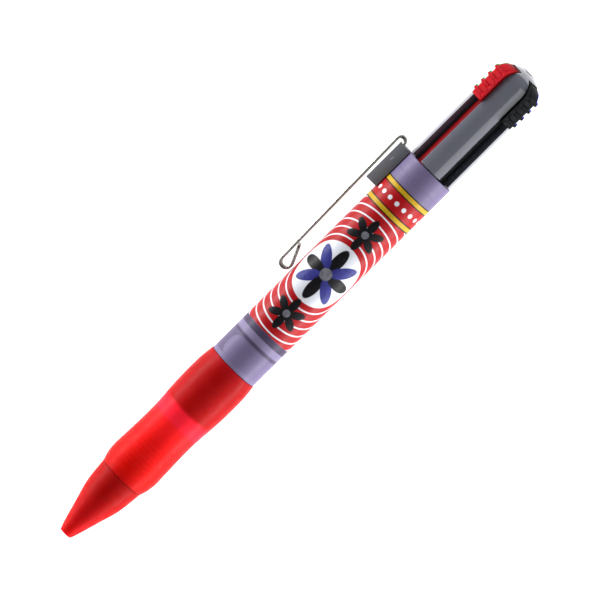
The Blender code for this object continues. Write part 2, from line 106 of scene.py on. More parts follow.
# The printed sleeve's colours
PURPLE = (0.155, 0.127, 0.235)
PALE_PURPLE = (0.2, 0.17, 0.29)
DEEP_PURPLE = (0.06, 0.045, 0.09)
ART_RED = (0.36, 0.004, 0.007)
ART_WHITE = (0.68, 0.7, 0.76)
ART_BLACK = (0.006, 0.0055, 0.007)
ART_BLUE = (0.03, 0.032, 0.2)
ART_GOLD = (0.5, 0.31, 0.012)
ART_GREY = (0.16, 0.16, 0.19)

# A plain pattern of even rings with rosettes on them, in millimetres on the unrolled film
PICTURE_CENTRE = (82.8, 0.0)
DISC_RADIUS = 8.0
RING_STEP = 2.1
RING_WIDTH = 0.36
RINGS = [DISC_RADIUS + RING_STEP * (i + 0.75) for i in range(6)]

# Two gold rings round the barrel, with a row of beads between them
TRIM = (101.4, 108.6)
TRIM_RULE = 0.3
TRIM_GOLD = 1.0
BEAD_RADIUS = 0.55
BEADS_IN_HALF_TURN = 9

# The camera: millimetres to a pixel, degrees, metres, and millimetres from the pen's middle
PIXEL_SCALE = 0.22235
IMAGE_SIDE = 600
TILT = 5.0
AXIS_ANGLE = 44.8
CAMERA_DISTANCE = 1.4
SENSOR = 36.0
AIM = (1.2, 0.03)


# ---------------------------------------------------------------- meshes

def add_piece(name, mesh, body, material, replaces=()):
    piece = bpy.data.objects.new(name, mesh)
    bpy.context.scene.collection.objects.link(piece)
    mesh.materials.clear()
    mesh.materials.append(material)
    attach(piece, body)
    if replaces:
        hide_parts(*replaces)
    return piece


def to_pen(mesh, angle=0.0, pivot=None, lean=0.0):
    """Moves a mesh from millimetres along its own axis to its place in the frame."""
    move = Matrix.Translation(AXIS) @ Matrix.Rotation(math.radians(angle), 4, "X")
    if pivot:
        move = move @ Matrix.Translation(Vector(pivot) * MM) @ Matrix.Rotation(lean, 4, "Z")
    mesh.transform(move @ Matrix.Scale(MM, 4))
    return mesh


def finished(bm, name):
    bmesh.ops.recalc_face_normals(bm, faces=bm.faces)
    mesh = bpy.data.meshes.new(name)
    bm.to_mesh(mesh)
    bm.free()
    return mesh


def smooth(mesh, angle=38.0):
    mesh.shade_smooth()
    mesh.set_sharp_from_angle(angle=math.radians(angle))
    return mesh


def lathe(name, outline, segments=96, centre=0.0):
    """A solid of revolution in millimetres, from (station, radius) points."""
    bm = bmesh.new()
    closed = outline[0][1] > 1e-6
    rings = []
    for x, r in outline:
        if r < 1e-6:
            rings.append([bm.verts.new((x, centre, 0.0))])
            continue
        turns = [math.tau * i / segments for i in range(segments)]
        rings.append([bm.verts.new((x, centre + r * math.cos(a), r * math.sin(a)))
                      for a in turns])
    pairs = list(zip(rings, rings[1:]))
    if closed:
        pairs.append((rings[-1], rings[0]))
    for first, second in pairs:
        for i in range(segments):
            j = (i + 1) % segments
            corners = []
            for ring, k in ((first, i), (first, j), (second, j), (second, i)):
                vert = ring[k] if len(ring) > 1 else ring[0]
                if vert not in corners:
                    corners.append(vert)
            if len(corners) > 2:
                bm.faces.new(corners)
    return smooth(finished(bm, name))


def curve_through(knots, steps):
    """A Catmull-Rom curve through points, with steps points for each span."""
    ends = [knots[0], *knots, knots[-1]]
    points = []
    for p0, p1, p2, p3 in zip(ends, ends[1:], ends[2:], ends[3:]):
        for i in range(steps):
            t = i / steps
            points.append(tuple(
                0.5 * (2 * b + (c - a) * t + (2 * a - 5 * b + 4 * c - d) * t * t
                       + (3 * b - a - 3 * c + d) * t ** 3)
                for a, b, c, d in zip(p0, p1, p2, p3)))
    return [*points, tuple(knots[-1])]


def arc(centre, radius, start, end, steps):
    turns = [math.radians(start + (end - start) * i / steps) for i in range(steps + 1)]
    return [(centre[0] + radius * math.cos(a), centre[1] + radius * math.sin(a)) for a in turns]


def extrude(name, outline, half_width, plane="XY"):
    """A plate in millimetres: an outline in the XY plane or the YZ plane, made thick."""
    bm = bmesh.new()
    if plane == "XY":
        verts = [bm.verts.new((a, b, -half_width)) for a, b in outline]
        way = Vector((0, 0, 2 * half_width))
    else:
        verts = [bm.verts.new((-half_width, a, b)) for a, b in outline]
        way = Vector((2 * half_width, 0, 0))
    face = bm.faces.new(verts)
    grown = bmesh.ops.extrude_face_region(bm, geom=[face])
    moved = [item for item in grown["geom"] if isinstance(item, bmesh.types.BMVert)]
    bmesh.ops.translate(bm, verts=moved, vec=way)
    return finished(bm, name)


def box(name, x_range, y_range, half_width):
    (x0, x1), (y0, y1) = x_range, y_range
    return extrude(name, [(x0, y0), (x1, y0), (x1, y1), (x0, y1)], half_width)


def evaluated(name, base, modify):
    """The base mesh after the modifiers that modify() puts on it."""
    body = bpy.data.objects.new(name, base)
    bpy.context.scene.collection.objects.link(body)
    helpers = modify(body) or []
    depsgraph = bpy.context.evaluated_depsgraph_get()
    mesh = bpy.data.meshes.new_from_object(body.evaluated_get(depsgraph))
    mesh.name = name
    for item in [body, *helpers]:
        bpy.data.objects.remove(item, do_unlink=True)
    return mesh


def combined(name, base, tools, operation, bevel=0.0, bevel_angle=40.0):
    """Booleans, then a rounding of the edges. All in millimetres."""
    def modify(body):
        helpers = []
        for tool in tools:
            helper = bpy.data.objects.new("helper", tool)
            bpy.context.scene.collection.objects.link(helper)
            step = body.modifiers.new("step", "BOOLEAN")
            step.operation = operation
            step.solver = "EXACT"
            step.object = helper
            helpers.append(helper)
        if bevel:
            rounding = body.modifiers.new("rounding", "BEVEL")
            rounding.width = bevel
            rounding.segments = 3
            rounding.limit_method = "ANGLE"
            rounding.angle_limit = math.radians(bevel_angle)
            rounding.use_clamp_overlap = True
        return helpers
    return smooth(evaluated(name, base, modify))


def turned_copies(mesh, angles):
    copies = []
    for angle in angles:
        copy = mesh.copy()
        copy.transform(Matrix.Rotation(math.radians(angle), 4, "X"))
        copies.append(copy)
    return copies


def tube_along(name, points, radius, sides=14, end_round=3):
    """A round wire along 3-D points in millimetres, with rounded ends."""
    points = [Vector(p) for p in points]
    count = len(points)
    tangents = []
    for i in range(count):
        a, b = points[max(i - 1, 0)], points[min(i + 1, count - 1)]
        tangents.append((b - a).normalized())
    normal = tangents[0].orthogonal().normalized()
    rings = []
    bm = bmesh.new()

    def ring(centre, tangent, size):
        across = tangent.cross(normal).normalized()
        turns = [math.tau * i / sides for i in range(sides)]
        return [bm.verts.new(centre + (normal * math.cos(a) + across * math.sin(a)) * size)
                for a in turns]

    caps = [math.radians(90.0 * (k + 1) / (end_round + 1)) for k in range(end_round)]
    for i in range(count):
        tangent = tangents[i]
        normal = (normal - tangent * normal.dot(tangent)).normalized()
        if i == 0:
            rings += [ring(points[0] - tangent * radius * 0.5 * math.cos(a), tangent,
                           radius * math.sin(a)) for a in caps]
        rings.append(ring(points[i], tangent, radius))
        if i == count - 1:
            rings += [ring(points[i] + tangent * radius * 0.5 * math.cos(a), tangent,
                           radius * math.sin(a)) for a in reversed(caps)]
    for first, second in zip(rings, rings[1:]):
        for i in range(sides):
            j = (i + 1) % sides
            bm.faces.new((first[i], first[j], second[j], second[i]))
    bm.faces.new(rings[0])
    bm.faces.new(rings[-1])
    return smooth(finished(bm, name), 50.0)


# ---------------------------------------------------------------- materials

class Shader:
    """A material being built, with short calls for the nodes that it uses."""

    def __init__(self, name):
        self.material = bpy.data.materials.new(name)
        self.material.use_nodes = True
        self.tree = self.material.node_tree
        self.main = self.tree.nodes["Principled BSDF"]
        self.place = self.tree.nodes.new("ShaderNodeTexCoord").outputs["Object"]

    def node(self, kind, **values):
        made = self.tree.nodes.new(kind)
        for key, value in values.items():
            setattr(made, key, value)
        return made

    def link(self, value, socket):
        if isinstance(value, bpy.types.NodeSocket):
            self.tree.links.new(value, socket)
        else:
            socket.default_value = value

    def math(self, operation, a, b=None, c=None):
        made = self.node("ShaderNodeMath", operation=operation)
        for value, socket in zip((a, b, c), made.inputs):
            if value is not None:
                self.link(value, socket)
        return made.outputs[0]

    def fade(self, value, start, end, low=0.0, high=1.0):
        made = self.node("ShaderNodeMapRange", interpolation_type="SMOOTHSTEP")
        for item, socket in zip((value, start, end, low, high), made.inputs):
            self.link(item, socket)
        return made.outputs[0]

    def ramp(self, value, stops, interpolation="LINEAR"):
        made = self.node("ShaderNodeValToRGB")
        made.color_ramp.interpolation = interpolation
        points = made.color_ramp.elements
        while len(points) < len(stops):
            points.new(0.5)
        for point, (where, _) in zip(points, stops):
            point.position = where
        for point, (_, colour) in zip(points, stops):
            point.color = (*colour, 1.0)
        self.link(value, made.inputs[0])
        return made.outputs[0]

    def mix(self, share, a, b):
        made = self.node("ShaderNodeMix", data_type="RGBA")
        self.link(share, made.inputs[0])
        for value, socket in ((a, made.inputs[6]), (b, made.inputs[7])):
            self.link(value if isinstance(value, bpy.types.NodeSocket) else (*value, 1.0), socket)
        return made.outputs[2]

    def noise(self, scale, detail):
        made = self.node("ShaderNodeTexNoise")
        self.link(self.place, made.inputs["Vector"])
        made.inputs["Scale"].default_value = scale
        made.inputs["Detail"].default_value = detail
        return made.outputs["Fac"]

    def patchy(self, scale, detail, low, high):
        """A value that drifts between two levels in soft patches."""
        return self.fade(self.noise(scale, detail), 0.3, 0.7, low, high)

    def hypotenuse(self, a, b):
        return self.math("SQRT", self.math("ADD", self.math("MULTIPLY", a, a),
                                           self.math("MULTIPLY", b, b)))

    def bump(self, height, distance, strength):
        made = self.node("ShaderNodeBump")
        made.inputs["Strength"].default_value = strength
        made.inputs["Distance"].default_value = distance
        self.link(height, made.inputs["Height"])
        self.link(made.outputs[0], self.main.inputs["Normal"])

    def set(self, **values):
        for key, value in values.items():
            self.link(value, self.main.inputs[key.replace("_", " ")])

    def split(self, vector):
        parts = self.node("ShaderNodeSeparateXYZ")
        self.link(vector, parts.inputs[0])
        return parts.outputs

    def unrolled(self):
        """Millimetres along the axis, and round the barrel from +Z towards +Y."""
        x, y, z = self.split(self.place)
        along = self.math("MULTIPLY", self.math("SUBTRACT", x, AXIS.x), 1 / MM)
        angle = self.math("ARCTAN2", self.math("SUBTRACT", y, AXIS.y),
                          self.math("SUBTRACT", z, AXIS.z))
        return along, self.math("MULTIPLY", angle, WRAP_RADIUS)


def band(made, value, start, end, edge=0.06):
    """1 between two values and 0 outside, with soft edges."""
    rise = made.fade(value, start - edge, start + edge)
    fall = made.fade(value, end - edge, end + edge, 1.0, 0.0)
    return made.math("MULTIPLY", rise, fall)


def varied(made, colour, amount, scale, detail=4.0):
    """A colour that wanders a little, darker and lighter, over the surface."""
    dark = tuple(c * (1 - amount) for c in colour)
    light = tuple(min(1.0, c * (1 + amount)) for c in colour)
    return made.mix(made.noise(scale, detail), dark, light)


def moulded(name, colour, roughness, amount, coat=0.0, ior=1.45, specular=0.5):
    made = Shader(name)
    made.set(Base_Color=varied(made, colour, amount, 160.0))
    made.set(Roughness=made.patchy(900.0, 5.0, roughness * 0.85, roughness * 1.2))
    made.set(Coat_Weight=coat, Coat_Roughness=0.08, IOR=ior, Specular_IOR_Level=specular)
    made.bump(made.noise(2500.0, 3.0), 0.004 * MM, 0.6)
    return made.material


def slider_plastic(name, colour):
    """Satin plastic, with painted shade on the stem: down in its slot it is darker than the thumb.
    """
    made = Shader(name)
    _, y, z = made.split(made.place)
    reach = made.hypotenuse(made.math("SUBTRACT", y, AXIS.y), made.math("SUBTRACT", z, AXIS.z))
    # Painted shade: below the thumb the stem is darkened to 0.45 of the colour, for the shade down
    # in its slot.
    thumb = made.fade(made.math("DIVIDE", reach, MM), 4.4, 5.6)
    slot_shade_colour = tuple(c * 0.45 for c in colour)
    made.set(Base_Color=made.mix(thumb, slot_shade_colour, varied(made, colour, 0.1, 180.0)))
    made.set(Roughness=made.patchy(900.0, 5.0, 0.36, 0.52), Specular_IOR_Level=0.03)
    made.bump(made.noise(2500.0, 3.0), 0.004 * MM, 0.6)
    return made.material


def block_plastic():
    """Satin grey, with a small pale patch painted on each side as the highlight where the light
    catches a little mark on the block.
    """
    made = Shader("block_plastic")
    x, y, _ = made.split(made.place)
    along = made.math("DIVIDE", made.math("SUBTRACT", x, AXIS.x + 111.1 * MM), MM)
    across = made.math("DIVIDE", made.math("SUBTRACT", y, AXIS.y + 7.95 * MM), MM)
    # Painted highlight: a small pale patch on each side of the block, where the light catches a
    # little mark.
    painted_glint = made.math("MULTIPLY", band(made, along, -0.5, 0.5, 0.12),
                     band(made, across, -0.2, 0.2, 0.1))
    grey = varied(made, (0.19, 0.195, 0.215), 0.06, 200.0)
    made.set(Base_Color=made.mix(painted_glint, grey, (0.33, 0.34, 0.37)))
    made.set(Roughness=made.patchy(900.0, 5.0, 0.34, 0.5), Specular_IOR_Level=0.35)
    made.bump(made.noise(2500.0, 3.0), 0.004 * MM, 0.6)
    return made.material


def metal(name, colour, roughness):
    made = Shader(name)
    made.set(Base_Color=varied(made, colour, 0.12, 300.0), Metallic=1.0)
    made.set(Roughness=made.patchy(1200.0, 5.0, roughness * 0.7, roughness * 1.4))
    made.bump(made.noise(1200.0, 2.0), 0.002 * MM, 0.5)
    return made.material


def red_shell(name, stops, roughness, frost, depth, rings=None):
    """Tinted plastic: its own red, with light and shade painted in station by station for what
    lies inside: lighter where light comes through, darker where the parts inside shade it.
    """
    made = Shader(name)
    along, _ = made.unrolled()
    share = made.math("DIVIDE", along, RED_LENGTH)
    # Painted light and shade: the tint along the axis brightens where light comes through the
    # plastic and darkens where parts inside shade it.
    tint = made.ramp(share, [(x / RED_LENGTH, colour) for x, colour in stops], "EASE")
    cloud = made.fade(made.noise(260.0, 5.0), 0.3, 0.75, 0.0, 0.06)
    tint = made.mix(cloud, tint, (0.8, 0.03, 0.02))
    # Painted shade: faint dark rings along the front of the grip, seen through the plastic.
    if rings:
        turn = made.math("SINE", made.math("MULTIPLY", along, math.pi / RING_SHADE_PITCH))
        turn = made.math("POWER", made.math("ABSOLUTE", turn), 3.0)
        shade = made.math("MULTIPLY", turn, band(made, along, *rings, 1.2))
        tint = made.mix(made.math("MULTIPLY", shade, 0.16), tint, (0.4, 0.0, 0.0))
    made.set(Base_Color=tint)
    made.set(Roughness=made.patchy(700.0, 4.0, roughness * 0.8, roughness * 1.2))
    made.set(Specular_IOR_Level=0.08, IOR=1.4, Coat_Weight=0.02, Coat_Roughness=frost)
    made.set(Subsurface_Weight=depth, Subsurface_Scale=0.0025)
    made.main.inputs["Subsurface Radius"].default_value = (1.0, 0.15, 0.1)
    made.bump(made.noise(1800.0, 4.0), 0.006 * MM, 0.6)
    return made.material


def rosette(centre, reach, half_width, colours):
    """Even petals round a centre: each one's colour, centre, half-lengths and turn in degrees."""
    petals = []
    for i, colour in enumerate(colours):
        angle = 360.0 * i / len(colours)
        middle = (centre[0] + 0.55 * reach * math.cos(math.radians(angle)),
                  centre[1] + 0.55 * reach * math.sin(math.radians(angle)))
        petals.append((colour, middle, (0.45 * reach, half_width), angle))
    hub = 0.2 * reach
    return [*petals, (ART_GREY, centre, (hub, hub), 0.0)]


def art_shapes():
    u, v = PICTURE_CENTRE
    shapes = rosette(PICTURE_CENTRE, 7.2, 1.35, [ART_BLACK, ART_BLUE] * 4)
    for side in (-1, 1):
        shapes += rosette((u + side * 12.3, v), 4.4, 0.95, [ART_BLACK] * 6)
    return shapes


def reach_from(made, place, centre, size=(1.0, 1.0), turn=0.0):
    """How far a place on the unrolled film is from a centre: 1 on an ellipse of this size."""
    mapping = made.node("ShaderNodeMapping", vector_type="TEXTURE")
    mapping.inputs["Location"].default_value = (*centre, 0.0)
    mapping.inputs["Rotation"].default_value = (0.0, 0.0, math.radians(turn))
    mapping.inputs["Scale"].default_value = (*size, 1.0)
    made.link(place, mapping.inputs["Vector"])
    length = made.node("ShaderNodeVectorMath", operation="LENGTH")
    made.link(mapping.outputs[0], length.inputs[0])
    return length.outputs["Value"]


def rounded_panel(made, place, centre, half, corner):
    """How far outside a round-cornered panel a place is; below 0 inside."""
    offset = Vector((*centre, 0.0))
    inset = Vector((half[0] - corner, half[1] - corner, 0.0))
    value = place
    for operation, other in (("SUBTRACT", offset), ("ABSOLUTE", None), ("SUBTRACT", inset),
                             ("MAXIMUM", Vector((0.0, 0.0, 0.0)))):
        step = made.node("ShaderNodeVectorMath", operation=operation)
        made.link(value, step.inputs[0])
        if other is not None:
            step.inputs[1].default_value = other
        value = step.outputs[0]
    length = made.node("ShaderNodeVectorMath", operation="LENGTH")
    made.link(value, length.inputs[0])
    return made.math("SUBTRACT", length.outputs["Value"], corner)


def rings_on_red(made, place):
    reach = reach_from(made, place, PICTURE_CENTRE)
    pale = made.fade(reach, DISC_RADIUS - 0.08, DISC_RADIUS + 0.08, 1.0, 0.0)
    for radius in RINGS:
        ring = band(made, reach, radius - RING_WIDTH / 2, radius + RING_WIDTH / 2)
        pale = made.math("MAXIMUM", pale, ring)
    red = varied(made, ART_RED, 0.12, 350.0)
    white = varied(made, ART_WHITE, 0.07, 240.0)
    return made.mix(pale, red, white)


def picture(made, place):
    art = rings_on_red(made, place)
    for colour, centre, size, turn in art_shapes():
        reach = reach_from(made, place, centre, size, turn)
        edge = 0.08 / min(size)
        mask = made.fade(reach, 1.0 - edge, 1.0 + edge, 1.0, 0.0)
        tone = varied(made, colour, 0.6, 1100.0, 3.0)
        art = made.mix(mask, art, tone)
    return art


def trim(made, place, under, collar):
    """Gold rings and a row of beads round the barrel, between the picture and the collar."""
    u, v, _ = made.split(place)
    start, end = TRIM
    gold = varied(made, ART_GOLD, 0.25, 420.0, 3.0)
    art = made.mix(made.math("GREATER_THAN", u, (start + end) / 2), under, collar)
    art = made.mix(band(made, u, start, end), art, ART_BLACK)
    art = made.mix(band(made, u, start + TRIM_RULE, end - TRIM_RULE), art, gold)
    inset = TRIM_RULE + TRIM_GOLD
    art = made.mix(band(made, u, start + inset, end - inset), art, ART_BLACK)
    inset += TRIM_RULE
    art = made.mix(band(made, u, start + inset, end - inset), art, ART_RED)
    spacing = HALF_TURN / BEADS_IN_HALF_TURN
    along = made.math("SUBTRACT", u, (start + end) / 2)
    across = made.math("PINGPONG", v, spacing / 2)
    reach = made.hypotenuse(along, across)
    bead = made.fade(reach, BEAD_RADIUS - 0.08, BEAD_RADIUS + 0.08, 1.0, 0.0)
    return made.mix(bead, art, ART_WHITE)


def printed_film():
    """The printed sleeve: purple bands at each end, and a plain pattern between them."""
    made = Shader("printed_film")
    u, round_barrel = made.unrolled()
    middle = PICTURE_CENTRE[1]
    wrapped = made.math("WRAP", round_barrel, middle + HALF_TURN / 2, middle - HALF_TURN / 2)
    join = made.node("ShaderNodeCombineXYZ")
    made.link(u, join.inputs[0])
    made.link(wrapped, join.inputs[1])
    place = join.outputs[0]
    purple = varied(made, PURPLE, 0.05, 200.0, 3.0)
    art = trim(made, place, picture(made, place), purple)
    panel = rounded_panel(made, place, (57.0, -2.6), (3.0, 8.6), 2.9)
    foot = made.mix(made.fade(panel, -0.05, 0.05), purple, made.mix(0.5, PURPLE, DEEP_PURPLE))
    foot = made.mix(band(made, panel, -0.1, 0.1), foot, made.mix(0.7, PURPLE, DEEP_PURPLE))
    foot = made.mix(made.math("LESS_THAN", u, 54.2), foot, made.mix(0.4, PURPLE, PALE_PURPLE))
    foot = made.mix(band(made, u, 60.2, 60.6), foot, DEEP_PURPLE)
    foot = made.mix(band(made, u, 60.9, 62.5), foot, PALE_PURPLE)
    foot = made.mix(band(made, u, 62.6, 64.1), foot, DEEP_PURPLE)
    body = made.mix(made.fade(u, 64.14, 64.26, 1.0, 0.0), art, foot)
    made.set(Base_Color=body, Specular_IOR_Level=0.16, Coat_Weight=0.03, Coat_Roughness=0.3)
    made.set(Roughness=made.patchy(600.0, 4.0, 0.36, 0.5))
    made.bump(made.noise(1500.0, 3.0), 0.003 * MM, 0.5)
    return made.material


# ---------------------------------------------------------------- shells

def build_nose(material):
    outer = curve_through([(0.0, 1.45), (0.1, 1.53), (1.4, 2.03), (4.1, 2.82), (8.1, 3.94),
                           (10.7, 4.71), (13.4, 5.23), (17.6, 5.64), (NOSE_END - 0.15, 5.69)], 6)
    outer += [(NOSE_END, 5.55), (NOSE_END, 4.5)]
    threads = []
    for turn in range(4):
        start = 18.35 + (turn + 0.9) * 1.6
        threads += [(start, 4.5), (start + 0.35, 4.7), (start + 0.55, 4.7), (start + 0.9, 4.5)]
    inner = [(26.7, 4.5), (26.8, 4.4), (26.8, 3.4), (26.6, 3.3)]
    inner += list(reversed(curve_through([(0.8, 1.15), (3.0, 1.5), (6.0, 1.95), (11.0, 2.75),
                                          (15.0, 3.3)], 4)))
    outer = [(max(x, 0.0), r) for x, r in outer]
    mesh = lathe("nose_cone_shell", outer + threads + inner + [(0.0, 1.15)], 112)
    add_piece("nose_cone_shell", to_pen(mesh), "nose", material, ["nose_cone"])


def build_grip(material):
    knots = [(GRIP_FRONT, 5.72), (18.55, 5.88), (20.0, 6.28), (22.3, 6.52), (26.2, 6.38),
             (32.2, 6.22), (36.0, 6.3), (41.0, 6.66), (45.4, 6.79), (49.8, 6.72),
             (GRIP_END - 0.12, 6.37)]
    outer = curve_through(knots, 10)
    grooves = [20.8, 22.2, 23.6, 25.0, 26.4, 27.8, 29.2]
    fine = []
    for (x0, r0), (x1, r1) in zip(outer, outer[1:]):
        steps = 6 if 20.0 < x0 < 30.5 else 1
        for i in range(steps):
            t = i / steps
            x, r = x0 + (x1 - x0) * t, r0 + (r1 - r0) * t
            fine.append((x, r - sum(0.035 * math.exp(-((x - g) / 0.16) ** 2) for g in grooves)))
    fine += [(GRIP_END - 0.12, 6.37), (GRIP_END, 6.28), (GRIP_END, 5.6), (35.0, 5.6),
             (35.0, 5.0), (GRIP_FRONT, 5.0)]
    mesh = lathe("grip_shell", fine, 128)
    add_piece("grip_shell", to_pen(mesh), "barrel", material, ["grip_sleeve"])


def build_barrel(material, film):
    step, lip = SHOULDER - 0.1, WRAP_END + 0.32
    outline = [(BARREL_FRONT, 4.5), (BARREL_FRONT, 5.2), (BARREL_FRONT + 0.1, 5.3), (step, 5.3),
               (step, 5.85), (lip, 5.85), (lip, WRAP_RADIUS), (BARREL_END - 0.12, WRAP_RADIUS),
               (BARREL_END, WRAP_RADIUS - 0.1), (BARREL_END, 5.2), (57.0, 5.2), (56.0, 4.5)]
    mesh = lathe("barrel_tube", outline, 128)
    add_piece("barrel_tube", to_pen(mesh), "barrel", material, ["main_barrel"])
    front, rear = GRIP_END + 0.08, WRAP_END + 0.3
    start = front + 0.06
    steps = 24
    outer = [(front, WRAP_FRONT_RADIUS - 0.06), (start, WRAP_FRONT_RADIUS)]
    for i in range(1, steps + 1):
        share = i / steps
        outer.append((start + (rear - start) * share,
                      WRAP_FRONT_RADIUS + (WRAP_RADIUS - WRAP_FRONT_RADIUS) * share))
    outline = outer + [(rear, 5.95), (front, 5.95)]
    mesh = lathe("printed_sleeve", outline, 128)
    add_piece("printed_sleeve", to_pen(mesh), "barrel", film, ["printed_wrap"])


def build_upper_barrel(material):
    outline = [(106.3, 4.45), (106.3, 5.0), (115.3, 5.0), (115.3, 6.02), (115.38, 6.1)]
    outline += [(115.38 + (141.0 - 115.38) * i / 6, 6.1 - 0.1 * i / 6) for i in range(1, 6)]
    hole = math.degrees(math.asin(1.95 / 6.0))
    outline += [(141.0 + x * 5.0, y * 6.0) for x, y in arc((0, 0), 1.0, 90.0, hole, 28)]
    outline.append((144.6, 1.95))
    outline += [(141.0 + x * 3.6, y * 4.45) for x, y in arc((0, 0), 1.0, 35.0, 90.0, 10)]
    shell = lathe("shell", outline, 128)
    cutter = box("slot", (113.0, 144.9), (2.05, 12.0), 1.78)
    slots = turned_copies(cutter, COLOUR_ANGLES.values())
    slotted = combined("slotted", shell, slots, "DIFFERENCE", 0.14, 42.0)
    ribs = turned_copies(box("rib", (110.0, 143.0), (3.0, 4.7), 0.25), (0, 90, 180, 270))
    mesh = combined("upper_barrel_shell", slotted, ribs, "UNION")
    add_piece("upper_barrel_shell", to_pen(mesh), "barrel", material, ["upper_barrel"])


def build_end_plug(material):
    outline = [(144.6, 0.0), (144.6, 1.1), (143.4, 1.1), (143.4, 1.7), (145.7, 1.7)]
    outline += arc((145.7, 1.45), 0.25, 90.0, 10.0, 5)
    outline += [(145.99, 1.3), (145.99, 0.85), (145.85, 0.72), (144.9, 0.7), (144.9, 0.0)]
    outline = [(min(x, LENGTH / MM), r) for x, r in outline]
    mesh = lathe("end_plug_button", outline, 64)
    add_piece("end_plug_button", to_pen(mesh), "barrel", material, ["end_plug"])


def build_clip_block(material):
    half, top, seat = 2.47, 9.2, 6.5
    side = math.degrees(math.asin(half / seat))
    under = [(y, z) for z, y in arc((0, 0), seat, 90.0 + side, 90.0 - side, 16)]
    outline = under + [(top, half), (top, -half)]
    mesh = extrude("block", outline, 5.4, "YZ")
    mesh.transform(Matrix.Translation((109.6, 0, 0)))
    holes = []
    for leg in (-1, 1):
        hole = lathe("hole", [(112.8, 0.0), (112.8, 0.62), (116.0, 0.62), (116.0, 0.0)], 32, 8.3)
        hole.transform(Matrix.Translation((0, 0, leg * 1.5)))
        holes.append(hole)
    block = combined("clip_block_shell", mesh, holes, "DIFFERENCE", 0.16, 50.0)
    add_piece("clip_block_shell", to_pen(block), "barrel", material, ["clip_block"])
    foot = combined("clip_block_foot", box("foot", (111.6, 114.4), (5.45, 6.55), 1.2), [], "UNION",
                    0.1)
    add_piece("clip_block_foot", to_pen(foot), "barrel", material, ())


def build_wire_clip(material):
    leg = [(113.6, 8.3), (114.3, 8.3)]
    leg += arc((115.1, 9.3), 1.0, -90.0, 90.0, 18)
    leg += [(115.1 + (78.13 - 115.1) * i / 14, 10.3 + (9.52 - 10.3) * i / 14)
            for i in range(1, 14)]
    leg += arc((78.1, 8.2), 1.32, 88.7, 293.6, 26)
    foot = leg[-1]
    slope = math.radians(23.6)
    rise = (81.6 - foot[0]) * math.tan(slope)
    leg.append((81.6, foot[1] + rise))
    along = Vector((math.cos(slope), math.sin(slope), 0.0))
    middle = Vector((*leg[-1], 0.0))
    turn = [middle + along * u + Vector((0, 0, v)) for v, u in arc((0, 0), 1.5, 0.0, 180.0, 24)]
    points = [Vector((x, y, 1.5)) for x, y in leg[:-1]] + turn
    points += [Vector((x, y, -1.5)) for x, y in reversed(leg[:-1])]
    mesh = tube_along("clip_wire", points, 0.37, 18)
    add_piece("clip_wire", to_pen(mesh), "clip", material, ["wire_clip"])


# ---------------------------------------------------------------- colour trains

def thumb_outline():
    inner = 2.3
    outline = [(134.1, inner), (134.1, 6.55)]
    outline += arc((134.4, 6.6), 0.3, 180.0, 90.0, 4)
    for ridge in range(4):
        start = 134.9 + ridge * 2.15
        crest = arc((start + 0.6, 7.33), 0.36, 160.0, 20.0, 7)
        outline += [(start - 0.05, 6.9), (start + 0.14, 7.0), (start + 0.2, 7.2), *crest,
                    (start + 1.0, 7.2), (start + 1.06, 7.0), (start + 1.25, 6.9)]
    tail = curve_through([(142.7, 6.72), (143.3, 6.3), (143.9, 5.6), (144.4, 4.7), (144.68, 3.8)],
                         4)
    return outline + tail + [(144.68, inner)]


def build_slider(name, angle, material):
    thumb = combined("thumb", extrude("thumb", thumb_outline(), 1.55), [], "UNION", 0.13, 55.0)
    stem = combined("stem", box("stem", (107.5, 136.0), (2.3, 4.3), 1.2), [], "UNION", 0.12)
    flange = lathe("flange", [(106.0, 0.0), (106.0, 1.4), (106.1, 1.5), (107.9, 1.5), (108.0, 1.4),
                              (108.0, 0.0)], 40, REFILL_OFFSET)
    peg = lathe("peg", [(102.5, 0.0), (102.5, 0.4), (102.6, 0.5), (106.5, 0.5), (106.5, 0.0)],
                24, REFILL_OFFSET)
    mesh = combined("slider", thumb, [stem, flange, peg], "UNION")
    add_piece(f"slider_{name}_knob", to_pen(mesh, angle), f"slider_body_{name}", material,
              [f"slider_{name}"])


